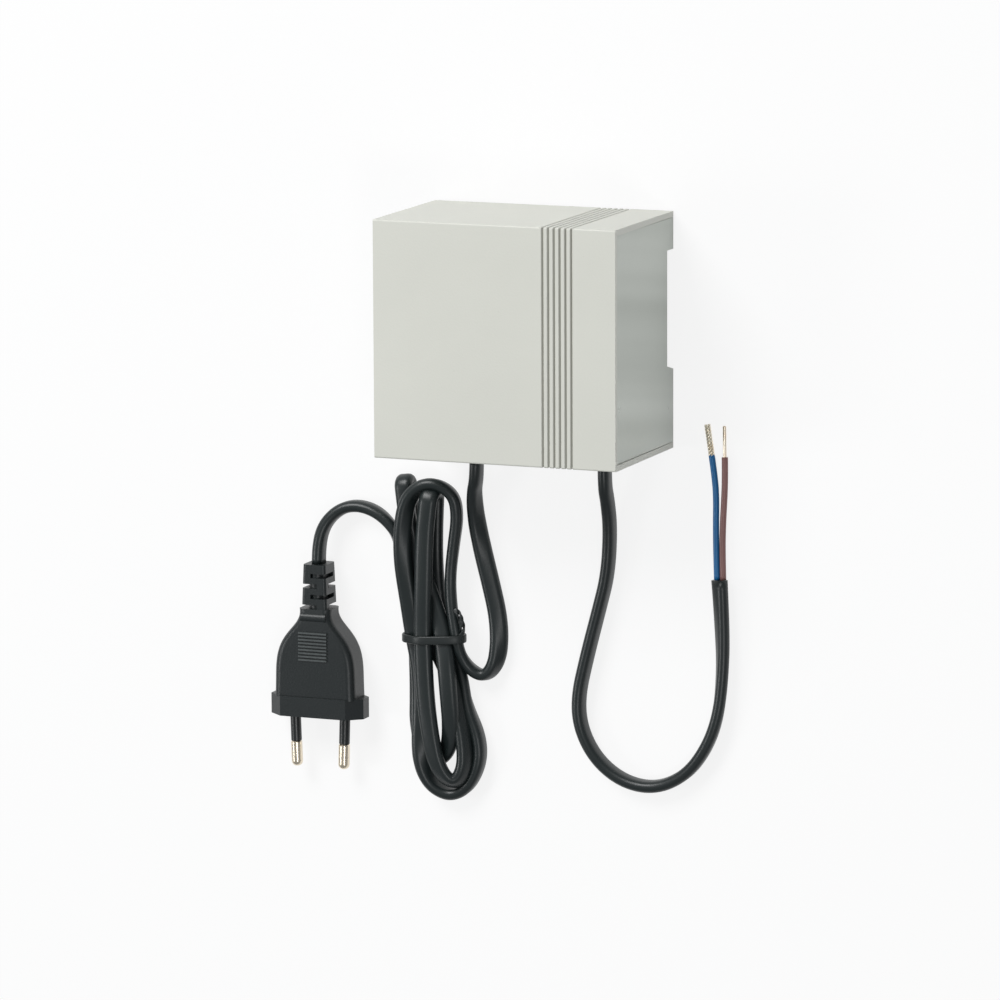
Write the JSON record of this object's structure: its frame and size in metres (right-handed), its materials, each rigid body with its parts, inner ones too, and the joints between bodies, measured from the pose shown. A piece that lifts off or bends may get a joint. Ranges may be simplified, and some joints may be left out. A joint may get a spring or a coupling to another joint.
{
  "type": "plug-in transformer",
  "caption": "Transformer in a grooved rail-mount case, with a hanked flat mains lead on a two-pin plug and a flat output lead with two bared cores.",
  "frame": {"origin": "middle of the case's back, on the surface that the case lies on", "axes": "+Z out of the case's front face, +Y to the case's top edge as mounted, +X to the right when facing the front"},
  "size_m": [0.1698, 0.2124, 0.056],
  "materials": {
    "case_cover": "light grey moulded plastic, fine matt texture",
    "case_base": "light grey moulded plastic, smooth",
    "zinc_screw": "zinc-plated steel",
    "core_steel": "stacked silicon steel sheets, varnished",
    "clamp_steel": "zinc-plated sheet steel",
    "bobbin_plastic": "black moulded plastic",
    "winding_copper": "enamelled copper wire",
    "winding_tape": "yellow polyester tape",
    "board_laminate": "phenolic laminate board",
    "terminal_plastic": "grey moulded plastic",
    "fuse_glass": "glass tube with metal caps",
    "clip_metal": "tinned spring brass",
    "bushing_plastic": "black moulded plastic",
    "lead_sheath": "black soft PVC with a slight sheen",
    "tie_plastic": "black plastic-coated wire tie",
    "blue_insulation": "blue PVC",
    "brown_insulation": "brown PVC",
    "winding_wire": "white insulated hook-up wire",
    "tinned_copper": "bare strands, partly tinned",
    "plug_plastic": "black moulded PVC, fine matt texture",
    "carrier_plastic": "hard black plastic",
    "pin_nickel": "nickel-plated brass, satin"
  },
  "bodies": {
    "root": {"cover": "case_cover", "base": "case_base", "case_screws": "zinc_screw", "core_screws": "zinc_screw", "board_screws": "zinc_screw", "clamp_screws": "zinc_screw", "terminal_screws": "zinc_screw", "core_e_stack": "core_steel", "core_i_stack": "core_steel", "lower_clamp_bar": "clamp_steel", "upper_clamp_bar": "clamp_steel", "bobbin": "bobbin_plastic", "primary_winding": "winding_copper", "secondary_winding": "winding_copper", "primary_tape": "winding_tape", "secondary_tape": "winding_tape", "wiring_board": "board_laminate", "mains_terminal": "terminal_plastic", "output_terminal": "terminal_plastic", "fuse": "fuse_glass", "fuse_clips": "clip_metal", "mains_bushing": "bushing_plastic", "output_bushing": "bushing_plastic", "mains_lead_clamp": "bushing_plastic", "output_lead_clamp": "bushing_plastic", "mains_lead_inlet": "lead_sheath", "output_lead_inlet": "lead_sheath", "mains_lead": "lead_sheath", "mains_hank": "lead_sheath", "plug_lead": "lead_sheath", "output_lead": "lead_sheath", "hank_tie": "tie_plastic", "mains_core_blue": "blue_insulation", "output_core_blue": "blue_insulation", "blue_core": "blue_insulation", "mains_core_brown": "brown_insulation", "output_core_brown": "brown_insulation", "brown_core": "brown_insulation", "primary_wires": "winding_wire", "secondary_wires": "winding_wire", "blue_end": "tinned_copper", "brown_end": "tinned_copper", "plug_body": "plug_plastic", "pin_carrier": "carrier_plastic", "plug_pin_left": "pin_nickel", "plug_pin_right": "pin_nickel"}
  },
  "joints": []
}
